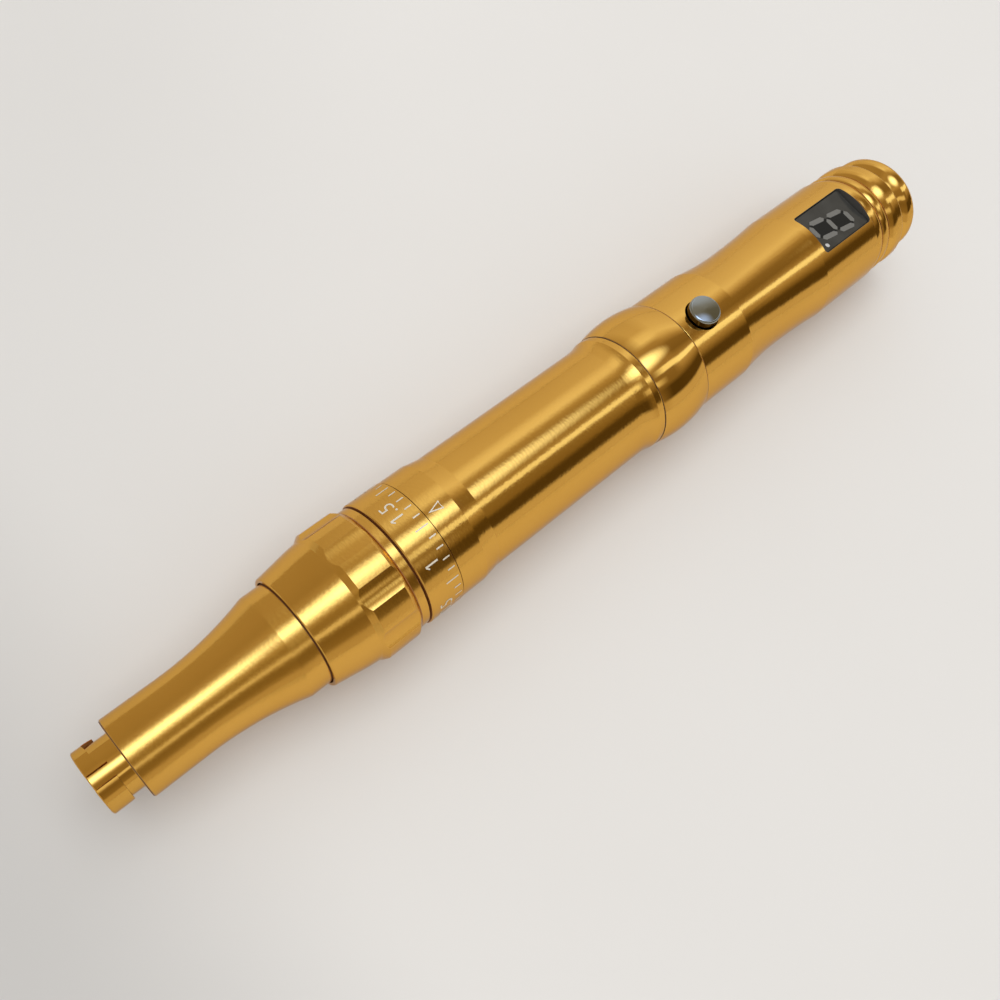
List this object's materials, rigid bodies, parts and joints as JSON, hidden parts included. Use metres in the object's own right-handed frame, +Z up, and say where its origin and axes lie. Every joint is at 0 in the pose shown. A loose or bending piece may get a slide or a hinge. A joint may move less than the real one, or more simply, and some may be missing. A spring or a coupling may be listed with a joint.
{
  "type": "permanent makeup tattoo pen",
  "caption": "Slim cordless tattoo pen for permanent makeup, with a bayonet needle collar, fluted depth adjuster, scale ring, power button and digit display.",
  "frame": {"origin": "centre of the mouth of the needle socket, on the pen's axis, with the nose at its rest depth", "axes": "+X along the pen's axis from the needle socket to the tail, +Z up through the power button and the display window, +Y to the left of a user who looks along +X"},
  "size_m": [0.1463, 0.0192, 0.02],
  "materials": {
    "gold_satin": "satin gold anodised, turned",
    "gold_polished": "polished gold anodised",
    "bare_aluminium": "turned, uncoated",
    "steel": "ground",
    "dark_steel": "blackened",
    "copper": "plain copper alloy",
    "white_plastic": "plain acetal",
    "black_plastic": "fine moulded",
    "black_rubber": "smooth rubber",
    "cell_wrap": "shrink film over the cell",
    "green_board": "solder mask",
    "dark_chip": "moulded packages",
    "display_face": "dark display body",
    "display_smoke": "smoked, polished",
    "button_chrome": "polished chrome"
  },
  "bodies": {
    "pen_body": {"body_tube": "gold_satin", "drive_housing": "bare_aluminium", "retaining_ring": "steel", "friction_ring": "black_rubber", "front_bush": "white_plastic", "rear_bush": "white_plastic", "motor_mount": "bare_aluminium", "motor_screws": "dark_steel", "motor_can": "steel", "motor_magnets": "dark_steel", "motor_end_cap": "white_plastic", "motor_brushes": "copper", "motor_terminals": "copper", "motor_sleeve": "black_rubber", "coupling_ring": "gold_polished", "rear_shell": "gold_satin", "chassis": "black_plastic", "battery_cell": "cell_wrap", "cell_tabs": "steel", "control_board": "green_board", "board_parts": "dark_chip", "display_module": "display_face", "display_lens": "display_smoke", "button_switch": "black_plastic", "charging_jack": "black_plastic", "jack_lugs": "copper", "tail_cap": "gold_polished"},
    "adjuster": {"adjusting_sleeve": "gold_satin", "scale_ring": "gold_satin"},
    "nose": {"nose_cone": "gold_satin", "needle_collar": "gold_polished", "nose_keys": "steel"},
    "needle_drive": {"needle_bar": "steel", "bar_tip": "white_plastic", "drive_plate": "bare_aluminium", "follower_pin": "steel", "return_spring": "steel"},
    "rotor": {"motor_shaft": "steel", "rotor_core": "dark_steel", "commutator": "copper", "swash_cam": "steel", "cam_screw": "dark_steel"},
    "button": {"power_button": "button_chrome", "switch_plunger": "black_plastic"}
  },
  "joints": [
    {"name": "depth_turn", "type": "hinge", "parent": "pen_body", "child": "adjuster", "pos_m": [0.038, 0, 0], "axis": [1, 0, 0], "range_deg": [-131.01, 119.01]},
    {"name": "nose_slide", "type": "slide", "parent": "pen_body", "child": "nose", "axis": [1, 0, 0], "range_m": [-0.00131, 0.00119]},
    {"name": "needle_stroke", "type": "slide", "parent": "pen_body", "child": "needle_drive", "axis": [-1, 0, 0], "range_m": [0, 0.0025], "stiffness_N_per_m": 200, "springref_m": -0.002, "deforming": ["return_spring"]},
    {"name": "motor_spin", "type": "hinge", "parent": "pen_body", "child": "rotor", "pos_m": [0.0536, 0, 0], "axis": [1, 0, 0], "continuous": true},
    {"name": "button_press", "type": "slide", "parent": "pen_body", "child": "button", "axis": [0, 0, -1], "range_m": [0, 0.0005], "stiffness_N_per_m": 300, "springref_m": -0.001}
  ],
  "couplings": [
    {"joint": "depth_turn", "follows": "nose_slide", "rad_per_m": 1745.3}
  ]
}
